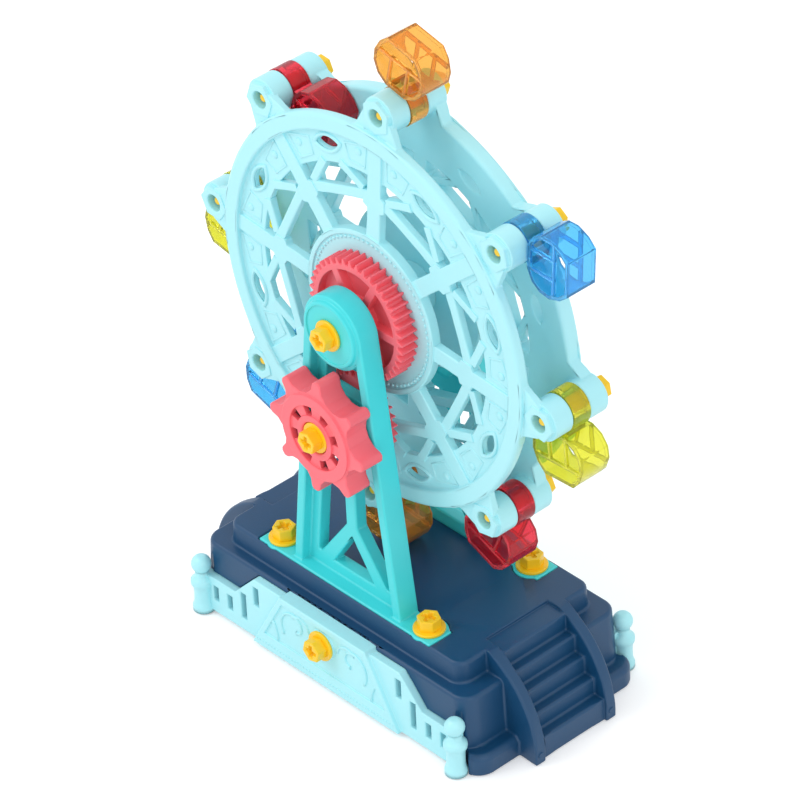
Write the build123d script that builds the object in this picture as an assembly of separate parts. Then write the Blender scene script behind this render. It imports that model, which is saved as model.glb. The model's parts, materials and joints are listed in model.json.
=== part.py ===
from build123d import *
import math
import os

# Hand cranked ferris wheel toy, in millimetres.
# X runs along the base, -Y is the crank side and Z is up.
# The origin is the middle of the base's underside.

# ---- fits
RUN_GAP = 0.05  # radial, round a pin or tube that something turns on
SCREW_GAP = 0.05  # radial, round a screwed shank, whose thread is left plain
SIDE_GAP = 0.1  # axial, at each end of a car's sleeve
THRUST_GAP = 0.3  # axial, between a turning face and a fixed one
POCKET_GAP = 0.25  # round a part that is let into the base

# ---- base: a hollow moulding of three tiers with a flight of steps at each end
DECK_Z = 47.5
DECK_X, DECK_Y, DECK_R = 74.3, 39.5, 6.0  # half length, half width, corner radius
TIER_Z = 36.8
TIER_X, TIER_Y, TIER_R = 84.2, 46.1, 8.0
LIP_Z = 10.6
LIP_X, LIP_Y, LIP_R = 93.1, 48.2, 9.0
TIER_DRAFT = 3.0  # degrees
DECK_EASE = 1.2
LIP_EASE = 2.0
EASE_SLOPE = 40.0
WALL = 2.4
BOSS_R = 6.8
FOOT_BOSS_LEN = 17.0
FENCE_BOSS_LEN = 16.0

# ---- steps
STEP_COUNT = 4
STEP_RISE = 8.6
STEP_RUN = 5.6
STAIR_HALF = 18.3  # half width between the side rails
STAIR_TOP_X = 68.3
NOSE_X = 79.5  # edge of the landing
LANDING_DROP = 1.3
RAIL_W = 5.7
RAIL_TOP_X = 75.6
RAIL_MID_X, RAIL_MID_Z = 94.9, 31.9
RAIL_FOOT_X, RAIL_FOOT_Z = 103.4, 4.0
PIP_R = 1.5
PIP_PROUD = 0.5
PIP_Z = 4.8

# ---- screws
SHANK_R = 3.9
FLANGE_R = 7.2
FLANGE_T = 1.5
HEAD_R = 5.4  # over the corners of the six-sided head
HEAD_H = 5.3
SCREW_LEN = 18.0
HEAD_ONLY_H = 5.5  # the wheel's screws have no flange
TIP_LEN = 5.0
TIP_R = 1.8

# ---- wheel
EARS = 8
EAR_ANGLE = 130.1  # first hanger, from +X towards +Z
EAR_AXIS_R = 100.0
RIM_R = 91.5
BEAD_W = 8.2
BAND_IN_R = 68.0
HUB_R = 38.5
HUB_RIM_IN_R = 36.0
SPOKE_W = 8.0
NODE_R = 57.0  # where spoke and cross bars meet
NODE_HALF_LEN, NODE_HALF_W = 6.0, 6.3
CHORD_R, CHORD_W = 55.7, 4.8
BRACE_W = 4.0
BRACE_FROM = (16.4, 58.2)  # across the sector, out from the axis
BRACE_TO = (5.4, 69.0)
EYE_OUT = 1.35  # eyes lie this far outside the band's middle line
EYE_HALF_LEN, EYE_HALF_W = 7.2, 2.8
FRONT_RING_Y, FRONT_RING_D = 9.6, 5.5  # inner face from mid plane, depth
REAR_RING_Y, REAR_RING_D = 12.4, 7.8
HUB_STEP, DISC_STEP = 0.6, 1.5  # each below the bead's crown
SPOKE_STEP, CHORD_STEP, BAND_STEP = 1.4, 1.9, 2.6

# ---- hangers on the rings
EAR_R = 8.9
EAR_HEX_R = 8.2
EAR_HEX_H = 2.2
EAR_MOUTH = 4.1  # mouth of a front hanger, forward of the ring's inner face
TAB_HALF_RIM, TAB_HALF_END = 12.8, 8.0
TAB_STEP = 1.9
HANG_FRONT_Y = -1.5
HANG_REAR_Y = 8.3
REAR_EAR_END_Y = 18.7

# ---- axle
TUBE_R = 6.5
AXLE_SCREW_IN = 12.0
SPACER_R = 12.0
THRUST_R = 11.0

# ---- gears
MODULE = 1.31
GEAR_TEETH = 42
PINION_TEETH = 30
TOOTH_THIN = 0.28  # taken off each tooth for backlash
CENTRE_GAP = 0.2
PRESSURE = math.radians(20)
GEAR_SETBACK = 2.45  # gear's face to frame
GEAR_DISH_R, GEAR_DISH_DEPTH = 23.3, 4.2
GEAR_HUB_R = 10.0
GEAR_SPOKES, GEAR_SPOKE_W = 6, 4.0
KEY_R = 12.0
PINION_T = 3.8
PINION_SETBACK = 1.0
SHAFT_R = 6.0
COLLAR_R = 8.5

# ---- handwheel
HANDLE_TEETH = 8
HANDLE_ANGLE = -4.2
HANDLE_R = 29.0
HANDLE_TOOTH_ROOT, HANDLE_TOOTH_TIP = 6.6, 5.0
DRUM_R, DRUM_WALL = 21.4, 3.0
HANDLE_GAP = 0.5  # to the frame's ribs
HANDLE_T = 11.9
HANDLE_WEB = 2.6
FACE_RING_IN_R, FACE_RING_PROUD = 15.3, 0.95
HANDLE_HUB_R, HANDLE_HUB_IN_R = 10.7, 7.5
HUB_SEAT = 0.9
PORT_ARC = 20.0

# ---- A-shaped frames
FRAME_IN = 25.2  # inner plane from mid plane
FRAME_WEB = 6.3
FRAME_RIB = 10.9
HEAD_DISC_R = 17.5
BOSS_FACE_R, BOSS_PROUD = 15.5, 2.2
BOSS_RIM_W, BOSS_DISH = 1.8, 0.6
FOOT_HALF = 33.9  # half spread of the legs at the deck
RIB_W = 5.0
LEG_W = 10.5
STEM_HALF = 3.45
STEM_SPLIT_Z = 78.3
ARM_FOOT_X, ARM_FOOT_Z = 20.8, 54.8
TRI_TOP_Z, TRI_HALF, TRI_Z = 72.6, 12.7, 53.3
BEARING_R = 11.0
WINDOW_GAP = 3.5  # web left round the crank's bearing
PLATE_T = 3.0
PLATE_X = 54.6
PLATE_OUT_Y = 38.6
PAD_R = 8.5
FOOT_SCREW_X, FOOT_SCREW_Y = 46.2, 30.6

# ---- fences
FENCE_FACE_Y, FENCE_BACK_Y = 50.0, 45.4
PANEL_FACE_Y, PANEL_BACK_Y = 52.3, 43.0
PANEL_FOOT, PANEL_TOP = 47.1, 27.5
PANEL_TOP_Z = 36.4
FENCE_Z = 1.9
RAIL_HIGH_Z, RAIL_HIGH_X = 34.6, 46.8
RAIL_LOW_Z, RAIL_LOW_X = 20.6, 60.3
POST_X, POST_Y = 81.5, 50.4
POST_SIDES = 12
POST_LEVELS = ((0.6, 5.1), (2.8, 5.1), (5.6, 4.2), (13.4, 4.2), (14.8, 5.2), (16.8, 5.2), (18.8, 3.2), (21.0, 3.0))
BALL_R, BALL_Z = 4.5, 25.4
BALL_STEPS = 6
SLOT_W = 3.3
SLOTS = ((45.8, 20.0, 30.3), (54.6, 8.2, 22.6), (64.0, 8.2, 16.3), (73.3, 8.2, 16.3))
FIELD_DEPTH = 0.9
FIELD_EDGE, FIELD_FOOT_Z, FIELD_TOP_EDGE = 3.4, 10.6, 3.4
FENCE_SCREW_Z = 25.3

# ---- hanging cars
SLEEVE_R = 9.2
CAR_FRONT_Y, CAR_REAR_Y = -4.1, 11.9
CAR_TOP, CAR_FLOOR, CAR_FLOOR_HALF = 9.6, 33.2, 8.4
CAR_SIDE = ((CAR_TOP, 5.6), (12.4, 11.0), (17.4, 14.3), (22.8, 14.7), (28.8, 12.4), (CAR_FLOOR, CAR_FLOOR_HALF))
DECK_GAP = 0.55  # under the floor of the lowest car
CAR_WALL = 1.5
CAR_FRAME_W = 1.9
CAR_RAIL_Z, CAR_RAIL_W = 24.6, 1.8
CAR_POST_X, CAR_POST_W = 4.9, 1.6
NECK_HALF = 5.2
CAR_HANG = (-18.0, 77.0, -3.8, -87.5, -112.9, -95.0, -108.0, -100.0)

# ---- worked out from the sizes above
WHEEL_Z = DECK_Z + DECK_GAP + math.hypot(CAR_FLOOR, CAR_FLOOR_HALF) + EAR_AXIS_R
EYE_R = (BAND_IN_R + RIM_R - BEAD_W) / 2 + EYE_OUT
CRANK_DROP = MODULE * (GEAR_TEETH + PINION_TEETH) / 2 + CENTRE_GAP
CRANK_Z = WHEEL_Z - CRANK_DROP
SCREW_HOLE_R = SHANK_R + SCREW_GAP
TUBE_BORE_R = TUBE_R + RUN_GAP
EAR_PITCH = 360 / EARS
FRAME_FACE = FRAME_IN + FRAME_RIB
BOSS_FACE = FRAME_FACE + BOSS_PROUD
DISC_FACE_Y = FRONT_RING_Y + FRONT_RING_D - DISC_STEP
GEAR_FACE_Y = FRAME_IN - GEAR_SETBACK
HANDLE_BACK_Y = FRAME_FACE + HANDLE_GAP
HANDLE_FACE_Y = HANDLE_BACK_Y + HANDLE_T
LEG_TILT = math.acos(HEAD_DISC_R / math.hypot(FOOT_HALF, WHEEL_Z - DECK_Z)) - math.atan2(
    WHEEL_Z - DECK_Z, FOOT_HALF
)


def forward(distance, height=0.0):
    """Plane that faces the crank side, this far in front of the mid plane."""
    return Plane(origin=(0, -distance, height), x_dir=(1, 0, 0), z_dir=(0, -1, 0))


def backward(distance, height=0.0):
    """Plane that faces the rear, this far behind the mid plane."""
    return Plane(origin=(0, distance, height), x_dir=(-1, 0, 0), z_dir=(0, 1, 0))


def slab(sketch, bottom, top):
    """Sketch raised between two levels of its own plane."""
    return Pos(0, 0, bottom) * extrude(sketch, amount=top - bottom)


def turned(piece, angle, radius=0.0):
    """Piece moved out along a radius at this angle."""
    return Rot(0, 0, angle) * Pos(radius, 0, 0) * piece


def rod(radius, bottom, top):
    return slab(Circle(radius), bottom, top)


def mirrored_points(points):
    """Right half of an outline, from bottom to top, closed by its mirror image."""
    return [*points, *[(-x, y) for x, y in reversed(points)]]


def half_turn(piece):
    """The same moulding fitted at the other side of the toy."""
    return Rot(0, 0, 180) * piece


# ---------------------------------------------------------------- base


def tier(half_x, half_y, radius, bottom, top, draft=0.0, ease=0.0):
    """Rounded block whose size is given at its top, with leaning walls and a bevelled top edge."""
    spread = (top - ease - bottom) * math.tan(math.radians(draft))
    foot = RectangleRounded(2 * (half_x + spread), 2 * (half_y + spread), radius + spread)
    block = Pos(0, 0, bottom) * extrude(foot, amount=top - ease - bottom, taper=draft)
    if ease:
        head = RectangleRounded(2 * half_x, 2 * half_y, radius)
        block += Pos(0, 0, top - ease) * extrude(head, amount=ease, taper=EASE_SLOPE)
    return block


def step_points():
    """Nosing line of a flight, from the landing down to the lowest tread."""
    points = [(NOSE_X, DECK_Z - LANDING_DROP)]
    for _ in range(STEP_COUNT):
        x, z = points[-1]
        points += [(x, z - STEP_RISE), (x + STEP_RUN, z - STEP_RISE)]
    return points


def stair_block():
    """Solid under the treads and the two curved side rails."""
    steps = step_points()
    body = Polygon((STAIR_TOP_X, 0), (steps[-1][0], 0), *steps[::-1], (STAIR_TOP_X, steps[0][1]), align=None)
    flight = slab(body, -STAIR_HALF, STAIR_HALF)
    curve = ThreePointArc(
        (RAIL_TOP_X, DECK_Z), (RAIL_MID_X, RAIL_MID_Z), (RAIL_FOOT_X, RAIL_FOOT_Z)
    )
    rest = Polyline(
        (RAIL_FOOT_X, RAIL_FOOT_Z),
        (RAIL_FOOT_X, 0),
        (STAIR_TOP_X, 0),
        (STAIR_TOP_X, DECK_Z),
        (RAIL_TOP_X, DECK_Z),
    )
    rail = slab(make_face(curve + rest), STAIR_HALF, STAIR_HALF + RAIL_W)
    pip = Pos(RAIL_FOOT_X + PIP_PROUD, PIP_Z, STAIR_HALF + RAIL_W / 2) * Rot(0, -90, 0) * rod(PIP_R, 0, 2)
    rail += pip
    side = Plane.XZ * (flight + rail)
    return side + mirror(Plane.XZ * rail, about=Plane.XZ)


def stair_air():
    """Space over the treads, between the rails."""
    steps = step_points()
    high = DECK_Z + STEP_RISE
    air = Polygon(
        (STAIR_TOP_X, high),
        (STAIR_TOP_X, steps[0][1]),
        *steps,
        (steps[-1][0] + STEP_RUN, steps[-1][1]),
        (steps[-1][0] + STEP_RUN, high),
        align=None,
    )
    return Plane.XZ * slab(air, -STAIR_HALF, STAIR_HALF)


def stair_hollow():
    """Hollow under a flight, one wall inside its treads."""
    last_x = step_points()[-1][0] - 2 * WALL
    low = DECK_Z - LANDING_DROP - (STEP_COUNT + 1) * STEP_RISE
    high = TIER_Z - 2 * WALL
    run = (high - low) * STEP_RUN / STEP_RISE
    shape = Polygon(
        (DECK_X, -1), (last_x, -1), (last_x, low), (last_x - run, high), (DECK_X, high), align=None
    )
    return Plane.XZ * slab(shape, WALL - STAIR_HALF, STAIR_HALF - WALL)


def plate_outline(gap=0.0):
    """A frame's foot plate on the deck: strip, and a rounded pad round each screw."""
    strip = Pos(0, -(FRAME_IN + PLATE_OUT_Y) / 2) * Rectangle(
        2 * (PLATE_X + gap), PLATE_OUT_Y - FRAME_IN + 2 * gap
    )
    outline = strip
    for side in (-1, 1):
        outline += Pos(side * FOOT_SCREW_X, -FOOT_SCREW_Y) * Circle(PAD_R + gap)
    return outline


def base_cavity():
    """Inside of the shell, left thicker where the fences are let in."""
    room = tier(TIER_X - WALL, PANEL_BACK_Y - WALL, TIER_R - WALL, -1, TIER_Z - WALL)
    room += tier(DECK_X - WALL, DECK_Y - WALL, DECK_R - WALL, -1, DECK_Z - WALL)
    return room


def base_side():
    """What one long side adds to the shell, and what is cut from it: foot pockets, bosses, recess."""
    pocket_z = DECK_Z - PLATE_T
    middle_y = -(FRAME_IN + PLATE_OUT_Y) / 2
    backing = Pos(0, middle_y) * Rectangle(2 * PLATE_X, PLATE_OUT_Y - FRAME_IN)
    added = [slab(backing, pocket_z - WALL, pocket_z)]
    cut = [slab(plate_outline(POCKET_GAP), pocket_z, DECK_Z + 1), fence_recess()]
    for side in (-1, 1):
        place = Pos(side * FOOT_SCREW_X, -FOOT_SCREW_Y)
        added.append(place * rod(BOSS_R, pocket_z - FOOT_BOSS_LEN, pocket_z))
        cut.append(place * rod(SCREW_HOLE_R, pocket_z - FOOT_BOSS_LEN - 1, pocket_z + 1))
    screw_axis = forward(0, FENCE_SCREW_Z)
    inner = PANEL_BACK_Y - POCKET_GAP
    added.append(screw_axis * rod(BOSS_R, inner - FENCE_BOSS_LEN, inner))
    cut.append(screw_axis * rod(SCREW_HOLE_R, inner - FENCE_BOSS_LEN - 1, inner + 1))
    return added, cut


def base_body():
    flight, hollow, air = stair_block(), stair_hollow(), stair_air()
    added, cut = base_side()
    body = tier(LIP_X, LIP_Y, LIP_R, 0, LIP_Z, ease=LIP_EASE)
    body += tier(TIER_X, TIER_Y, TIER_R, 0, TIER_Z, TIER_DRAFT, DECK_EASE)
    body += tier(DECK_X, DECK_Y, DECK_R, TIER_Z - WALL, DECK_Z, TIER_DRAFT, DECK_EASE)
    body += [flight, half_turn(flight)]
    body -= base_cavity()
    body += added + [half_turn(piece) for piece in added]
    cut += [hollow, air]
    return body - (cut + [half_turn(piece) for piece in cut])


# ---------------------------------------------------------------- fences


def panel_outline(gap=0.0):
    foot, top = PANEL_FOOT + gap, PANEL_TOP + gap
    return Polygon(*mirrored_points([(foot, FENCE_Z - gap), (top, PANEL_TOP_Z + gap)]), align=None)


def wing_outline(gap=0.0):
    points = [
        (POST_X, FENCE_Z - gap),
        (POST_X, RAIL_LOW_Z + gap),
        (RAIL_LOW_X + gap, RAIL_LOW_Z + gap),
        (RAIL_HIGH_X + gap, RAIL_HIGH_Z + gap),
    ]
    return Polygon(*mirrored_points(points), align=None)


def post():
    """Turned post with a ball on top, as stacked many-sided tapers."""
    levels = list(POST_LEVELS)
    for k in range(1, BALL_STEPS):
        lean = math.pi * k / BALL_STEPS
        if BALL_Z - BALL_R * math.cos(lean) > levels[-1][0]:
            levels.append((BALL_Z - BALL_R * math.cos(lean), BALL_R * math.sin(lean)))
    flat = math.cos(math.pi / POST_SIDES)
    body = Part()
    for (low, start), (high, end) in zip(levels, levels[1:]):
        taper = math.degrees(math.atan2((start - end) * flat, high - low))
        body += Pos(0, 0, low) * extrude(RegularPolygon(start, POST_SIDES), amount=high - low, taper=taper)
    return body


def fence_recess():
    """Room in the base's wall for a fence, open to the outside and to the floor."""
    out = FENCE_FACE_Y + 10
    wing = Rectangle(2 * POST_X, 2 * FENCE_Z, align=(Align.CENTER, Align.CENTER)) + wing_outline(POCKET_GAP)
    panel = panel_outline(POCKET_GAP)
    panel += Rectangle(2 * (PANEL_FOOT + POCKET_GAP), 2 * FENCE_Z)
    room = forward(0) * slab(wing, FENCE_BACK_Y - POCKET_GAP, out)
    room += forward(0) * slab(panel, PANEL_BACK_Y - POCKET_GAP, out)
    widest = max(radius for _, radius in POST_LEVELS)
    for side in (-1, 1):
        room += Pos(side * POST_X, -POST_Y) * rod(widest + POCKET_GAP, -1, BALL_Z + BALL_R)
    return room


def fence():
    wing = wing_outline()
    for x, low, high in SLOTS:
        for side in (-1, 1):
            wing -= Pos(side * x, (low + high) / 2) * Rectangle(SLOT_W, high - low)
    panel = panel_outline()
    body = slab(wing, FENCE_BACK_Y, FENCE_FACE_Y)
    body += slab(panel, PANEL_BACK_Y, PANEL_FACE_Y)
    slope = (PANEL_FOOT - PANEL_TOP) / (PANEL_TOP_Z - FENCE_Z)
    foot = PANEL_FOOT - slope * (FIELD_FOOT_Z - FENCE_Z) - FIELD_EDGE
    top_z = PANEL_TOP_Z - FIELD_TOP_EDGE
    top = PANEL_TOP + slope * FIELD_TOP_EDGE - FIELD_EDGE
    field = Polygon(*mirrored_points([(foot, FIELD_FOOT_Z), (top, top_z)]), align=None)
    field -= Pos(0, FENCE_SCREW_Z) * Circle(FLANGE_R)
    body -= slab(field, PANEL_FACE_Y - FIELD_DEPTH, PANEL_FACE_Y + 1)
    body -= Pos(0, FENCE_SCREW_Z) * rod(SCREW_HOLE_R, PANEL_BACK_Y - 1, PANEL_FACE_Y + 1)
    body = forward(0) * body
    for side in (-1, 1):
        body += Pos(side * POST_X, -POST_Y) * post()
    return body


# ---------------------------------------------------------------- frames


def leg_x(z, inset):
    """Half width at a height of the outline that lies this far inside the frame's edge."""
    rise = (WHEEL_Z - z) * math.sin(LEG_TILT)
    return (HEAD_DISC_R - inset + rise) / math.cos(LEG_TILT)


def frame_outline(inset, bottom):
    """Head circle and the two leg edges that run off it as tangents."""
    radius = HEAD_DISC_R - inset
    touch = (radius * math.cos(LEG_TILT), WHEEL_Z + radius * math.sin(LEG_TILT))
    legs = Polygon(*mirrored_points([(leg_x(bottom, inset), bottom), touch]), align=None)
    return legs + Pos(0, WHEEL_Z) * Circle(radius)


def frame_windows():
    top = CRANK_Z - BEARING_R - WINDOW_GAP
    windows = Polygon(*mirrored_points([(TRI_HALF, TRI_Z), (0.01, TRI_TOP_Z)]), align=None)
    for side in (-1, 1):
        points = (
            (STEM_HALF, STEM_SPLIT_Z),
            (STEM_HALF, top),
            (leg_x(top, LEG_W), top),
            (leg_x(ARM_FOOT_Z, LEG_W), ARM_FOOT_Z),
            (ARM_FOOT_X, ARM_FOOT_Z),
        )
        windows += Polygon(*[(side * x, z) for x, z in points], align=None)
    low = CRANK_Z + BEARING_R + WINDOW_GAP
    high = WHEEL_Z - HEAD_DISC_R
    slot = [(leg_x(low, LEG_W), low), (leg_x(high, LEG_W), high)]
    return windows + Polygon(*mirrored_points(slot), align=None)


def a_frame():
    ribs = frame_outline(0, DECK_Z) - frame_outline(RIB_W, DECK_Z - 1)
    web = frame_outline(RIB_W - 1, DECK_Z) - frame_windows()
    body = slab(ribs, 0, FRAME_RIB) + slab(web, 0, FRAME_WEB)
    top = Pos(0, WHEEL_Z)
    body += top * rod(HEAD_DISC_R, 0, FRAME_RIB)
    face = BOSS_FACE - FRAME_IN
    body += top * rod(BOSS_FACE_R, FRAME_RIB, face)
    body -= top * rod(BOSS_FACE_R - BOSS_RIM_W, face - BOSS_DISH, face + 1)
    body -= top * rod(SCREW_HOLE_R, -1, face + 1)
    bearing = Pos(0, CRANK_Z)
    body += bearing * rod(BEARING_R, 0, HANDLE_BACK_Y - THRUST_GAP - FRAME_IN)
    body -= bearing * rod(SHAFT_R + RUN_GAP, -1, HANDLE_BACK_Y)
    body = forward(FRAME_IN) * body
    plate = slab(plate_outline(), DECK_Z - PLATE_T, DECK_Z)
    for side in (-1, 1):
        plate -= Pos(side * FOOT_SCREW_X, -FOOT_SCREW_Y) * rod(SCREW_HOLE_R, 0, DECK_Z + 1)
    return body + plate


# ---------------------------------------------------------------- screws


def screw(length, flange=True):
    """Six-sided head above the seat at 0, plain shank below it."""
    lift = FLANGE_T if flange else 0
    high = HEAD_H if flange else HEAD_ONLY_H
    body = slab(RegularPolygon(HEAD_R, 6), lift, lift + high)
    if flange:
        body += rod(FLANGE_R, 0, FLANGE_T)
    body += rod(SHANK_R, -length, lift)
    return body


def foot_screws():
    place = [Pos(x, y, DECK_Z) for x in (-FOOT_SCREW_X, FOOT_SCREW_X) for y in (-FOOT_SCREW_Y, FOOT_SCREW_Y)]
    return Compound(children=[spot * screw(SCREW_LEN) for spot in place])


def fence_screws():
    one = forward(PANEL_FACE_Y, FENCE_SCREW_Z) * screw(SCREW_LEN)
    return Compound(children=[one, half_turn(one)])


def axle_screws():
    seat = BOSS_FACE - BOSS_DISH
    one = forward(seat, WHEEL_Z) * screw(seat - FRAME_IN + AXLE_SCREW_IN)
    return Compound(children=[one, half_turn(one)])


def crank_screw():
    return forward(HANDLE_FACE_Y - HUB_SEAT, CRANK_Z) * screw(SCREW_LEN)


def car_screws():
    """From the rear through a hanger and a car's sleeve into the front hanger."""
    reach = REAR_EAR_END_Y + FRONT_RING_Y + EAR_MOUTH - EAR_HEX_H
    one = screw(reach - TIP_LEN, flange=False) + rod(TIP_R, -reach, 0)
    one = backward(REAR_EAR_END_Y) * one
    return Compound(children=[spot * one for spot in ear_places()])


def ear_places():
    """Where each hanger's axis crosses the mid plane."""
    angles = [math.radians(EAR_ANGLE - EAR_PITCH * k) for k in range(EARS)]
    return [Pos(EAR_AXIS_R * math.cos(a), 0, WHEEL_Z + EAR_AXIS_R * math.sin(a)) for a in angles]


# ---------------------------------------------------------------- wheel


def lens(half_length, half_width):
    """Pointed oval, standing across the radius."""
    left, right = (0, -half_length), (0, half_length)
    return make_face(
        ThreePointArc(left, (half_width, 0), right) + ThreePointArc(right, (-half_width, 0), left)
    )


def around(sketch, angles, radius=0.0):
    return Sketch() + [turned(sketch, angle, radius) for angle in angles]


def spoke_outline():
    """Spoke along +X that swells into a six-sided node where the cross bars meet it."""
    half, swell = SPOKE_W / 2, NODE_HALF_LEN * (1 - SPOKE_W / 4 / NODE_HALF_W)
    lower = [
        (HUB_RIM_IN_R, -half),
        (NODE_R - swell, -half),
        (NODE_R - NODE_HALF_LEN / 2, -NODE_HALF_W),
        (NODE_R + NODE_HALF_LEN / 2, -NODE_HALF_W),
        (NODE_R + swell, -half),
        (RIM_R - BEAD_W / 2, -half),
    ]
    return Polygon(*lower, *[(x, -y) for x, y in lower[::-1]], align=None)


def brace_outline(side):
    """Slanted bar from a cross bar to the band, on one side of a sector's middle line."""
    (start_x, start_r), (end_x, end_r) = BRACE_FROM, BRACE_TO
    run = math.hypot(end_x - start_x, end_r - start_r)
    lean = math.degrees(math.atan2(end_x - start_x, end_r - start_r))
    middle = Pos((start_r + end_r) / 2, side * (start_x + end_x) / 2)
    return middle * Rot(0, 0, side * lean) * Rectangle(run, BRACE_W)


def ring_lattice(depth, spokes, middles):
    """Pierced disc: band, spokes with their nodes, cross bars and braces."""
    half_chord = NODE_R * math.sin(math.radians(EAR_PITCH / 2))
    chord = Pos(CHORD_R, 0) * Rectangle(CHORD_W, 2 * half_chord)
    bars = chord + brace_outline(-1) + brace_outline(1)
    body = slab(Circle(RIM_R - BEAD_W / 2) - Circle(BAND_IN_R), 0, depth - BAND_STEP)
    body += [turned(slab(bars, 0, depth - CHORD_STEP), angle) for angle in middles]
    body += [turned(slab(spoke_outline(), 0, depth - SPOKE_STEP), angle) for angle in spokes]
    return body - slab(around(lens(EYE_HALF_LEN, EYE_HALF_W), middles, EYE_R), -1, depth)


def ring(depth, first_ear, ear):
    """One side of the wheel, lying on its inner face, with its hangers."""
    spokes = [first_ear + EAR_PITCH * k for k in range(EARS)]
    middles = [angle + EAR_PITCH / 2 for angle in spokes]
    bead = slab(Circle(RIM_R) - Circle(RIM_R - BEAD_W), 0, depth)
    body = ring_lattice(depth, spokes, middles) + bead
    tab = Polygon(
        (RIM_R - BEAD_W / 2, -TAB_HALF_RIM),
        (RIM_R - 1, -TAB_HALF_RIM),
        (EAR_AXIS_R, -TAB_HALF_END),
        (EAR_AXIS_R, TAB_HALF_END),
        (RIM_R - 1, TAB_HALF_RIM),
        (RIM_R - BEAD_W / 2, TAB_HALF_RIM),
        align=None,
    )
    body += slab(around(tab, spokes), 0, depth - TAB_STEP)
    body += [turned(ear, angle, EAR_AXIS_R) for angle in spokes]
    bore = rod(SCREW_HOLE_R, -REAR_RING_Y, depth + EAR_MOUTH)
    body -= [turned(bore, angle, EAR_AXIS_R) for angle in spokes]
    body += rod(HUB_R, 0, depth - HUB_STEP)
    return body - rod(HUB_RIM_IN_R, depth - DISC_STEP, depth)


def front_ear():
    """Hanger with a six-sided mouth."""
    body = slab(RegularPolygon(EAR_HEX_R, 6), 0, EAR_MOUTH)
    return body + rod(EAR_R, -FRONT_RING_Y - HANG_FRONT_Y, EAR_MOUTH - EAR_HEX_H)


def rear_ear():
    return rod(EAR_R, HANG_REAR_Y - REAR_RING_Y, REAR_EAR_END_Y - REAR_RING_Y)


def hub_key(gap=0.0):
    """Six-sided key that locks the gear to the front ring."""
    return RegularPolygon(KEY_R + gap, 6)


def ring_front():
    body = ring(FRONT_RING_D, EAR_ANGLE, front_ear())
    body -= slab(hub_key(SCREW_GAP), -1, FRONT_RING_D)
    return forward(FRONT_RING_Y, WHEEL_Z) * body


def ring_rear():
    body = ring(REAR_RING_D, 180 - EAR_ANGLE, rear_ear())
    body += rod(THRUST_R, 0, FRAME_IN - THRUST_GAP - REAR_RING_Y)
    body -= rod(TUBE_BORE_R, -1, FRAME_IN)
    return backward(REAR_RING_Y, WHEEL_Z) * body


def hub_spacer():
    """Tube that holds the two rings apart and runs on the axle."""
    body = rod(SPACER_R, -REAR_RING_Y, FRONT_RING_Y) - rod(TUBE_BORE_R, -REAR_RING_Y, FRONT_RING_Y)
    return forward(0, WHEEL_Z) * body


def axle_tube():
    body = rod(TUBE_R, -FRAME_IN, FRAME_IN)
    body -= rod(SCREW_HOLE_R, -FRAME_IN, FRAME_IN)
    return forward(0, WHEEL_Z) * body


# ---------------------------------------------------------------- gears


def tooth_half_angle(radius, pitch, teeth):
    """Half the angle a tooth fills at this radius, by the involute."""
    base = pitch * math.cos(PRESSURE)
    slope = math.acos(min(1.0, base / radius))
    opened = math.tan(slope) - slope
    at_pitch = math.tan(PRESSURE) - PRESSURE
    return math.pi / (2 * teeth) - TOOTH_THIN / (2 * pitch) + at_pitch - opened


def gear_outline(teeth, first):
    pitch = MODULE * teeth / 2
    radii = (pitch - 1.25 * MODULE, pitch + MODULE)
    points = []
    for tooth in range(teeth):
        middle = math.radians(first) + 2 * math.pi * tooth / teeth
        halves = [(r, tooth_half_angle(r, pitch, teeth)) for r in radii]
        flank = [(r, middle - half) for r, half in halves] + [(r, middle + half) for r, half in halves[::-1]]
        points += [(r * math.cos(a), r * math.sin(a)) for r, a in flank]
    return Polygon(*points, align=None)


def drive_gear():
    """Wheel's gear, keyed to the front ring, with a gap of teeth straight down."""
    width = GEAR_FACE_Y - DISC_FACE_Y
    body = slab(gear_outline(GEAR_TEETH, -90 + 180 / GEAR_TEETH), 0, width)
    dish = Circle(GEAR_DISH_R) - Circle(GEAR_HUB_R)
    spoke_len = GEAR_DISH_R + 1
    arms = around(
        Pos(spoke_len / 2, 0) * Rectangle(spoke_len, GEAR_SPOKE_W), [60 * k for k in range(GEAR_SPOKES)]
    )
    body -= slab(dish - arms, width - GEAR_DISH_DEPTH, width + 1)
    body += rod(GEAR_HUB_R, 0, FRAME_IN - THRUST_GAP - DISC_FACE_Y)
    body += slab(hub_key(), FRONT_RING_Y - DISC_FACE_Y, 1)
    body -= rod(TUBE_BORE_R, FRONT_RING_Y - DISC_FACE_Y - 1, FRAME_IN)
    return forward(DISC_FACE_Y, WHEEL_Z) * body


def shaft_end():
    """How far the crank shaft reaches into the handwheel, from the mid plane."""
    return HANDLE_FACE_Y - HUB_SEAT - HANDLE_WEB


def pinion():
    """Small gear and the crank shaft in one piece, with a tooth straight up."""
    front = FRAME_IN - PINION_SETBACK
    body = slab(gear_outline(PINION_TEETH, 90), front - PINION_T, front)
    body += rod(COLLAR_R, front, FRAME_IN - THRUST_GAP)
    body += rod(SHAFT_R, front, shaft_end())
    body -= rod(SCREW_HOLE_R, shaft_end() - SCREW_LEN, shaft_end())
    return forward(0, CRANK_Z) * body


# ---------------------------------------------------------------- handwheel


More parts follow.
